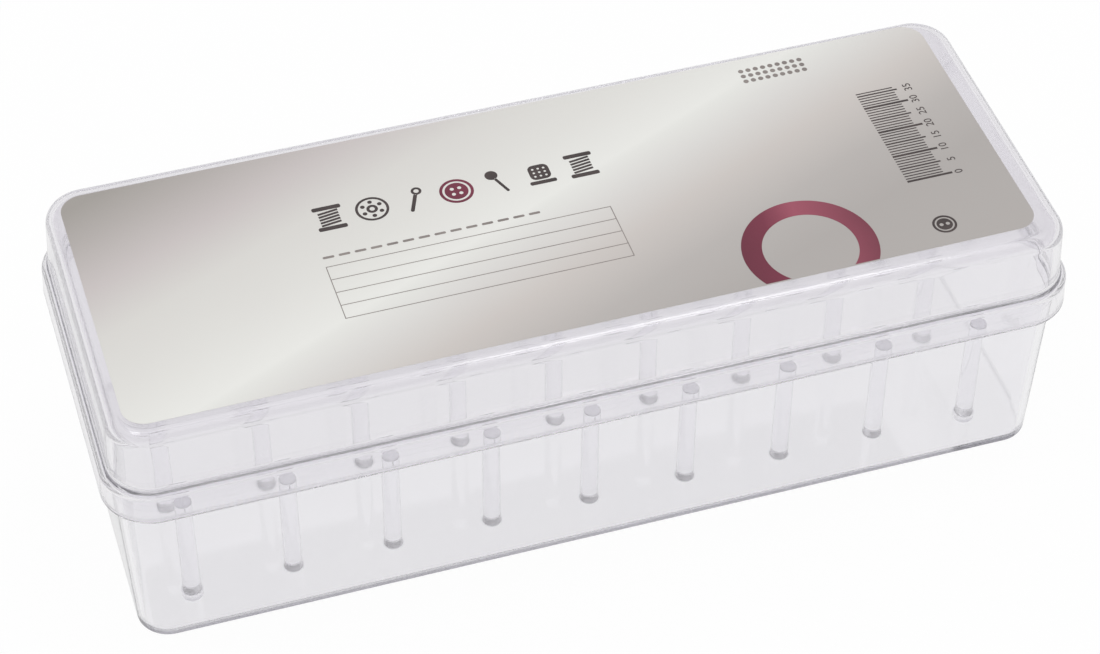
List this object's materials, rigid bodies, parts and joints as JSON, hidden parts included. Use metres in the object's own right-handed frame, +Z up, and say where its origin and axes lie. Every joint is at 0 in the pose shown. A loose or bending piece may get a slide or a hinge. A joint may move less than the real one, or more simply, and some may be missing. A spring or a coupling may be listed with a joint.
{
  "type": "bobbin box",
  "caption": "Clear rectangular box for bobbins and thread spools: a tapered tray with rows of upright pegs, and a lift-off lid with a shoulder, a skirt and a silver label.",
  "frame": {"origin": "the middle of the box's base, at the height of the surface that the feet stand on", "axes": "+X along the long side to the right, +Y from the front side to the back, +Z up through the lid"},
  "size_m": [0.2568, 0.1004, 0.0776],
  "materials": {
    "clear_plastic": "clear polished moulded polystyrene with a faint lavender tint",
    "label_film": "satin silver label film that fades from champagne to taupe",
    "dark_ink": "matt dark brown printing ink",
    "red_ink": "burgundy printing ink that fades to rose"
  },
  "bodies": {
    "tray": {"base_tray": "clear_plastic", "peg_front_1": "clear_plastic", "peg_front_2": "clear_plastic", "peg_front_3": "clear_plastic", "peg_front_4": "clear_plastic", "peg_front_5": "clear_plastic", "peg_front_6": "clear_plastic", "peg_front_7": "clear_plastic", "peg_front_8": "clear_plastic", "peg_front_9": "clear_plastic", "peg_middle_1": "clear_plastic", "peg_middle_2": "clear_plastic", "peg_middle_3": "clear_plastic", "peg_middle_4": "clear_plastic", "peg_middle_5": "clear_plastic", "peg_middle_6": "clear_plastic", "peg_middle_7": "clear_plastic", "peg_middle_8": "clear_plastic", "peg_middle_9": "clear_plastic", "peg_back_1": "clear_plastic", "peg_back_2": "clear_plastic", "peg_back_3": "clear_plastic", "peg_back_4": "clear_plastic", "peg_back_5": "clear_plastic", "peg_back_6": "clear_plastic", "peg_back_7": "clear_plastic", "peg_back_8": "clear_plastic", "peg_back_9": "clear_plastic", "foot_front_left": "clear_plastic", "foot_front_right": "clear_plastic", "foot_back_left": "clear_plastic", "foot_back_right": "clear_plastic"},
    "lid": {"lid": "clear_plastic", "label": "label_film"}
  },
  "joints": [
    {"name": "lid_lift", "type": "slide", "parent": "tray", "child": "lid", "axis": [0, 0, 1], "range_m": [0, 0.06]}
  ]
}
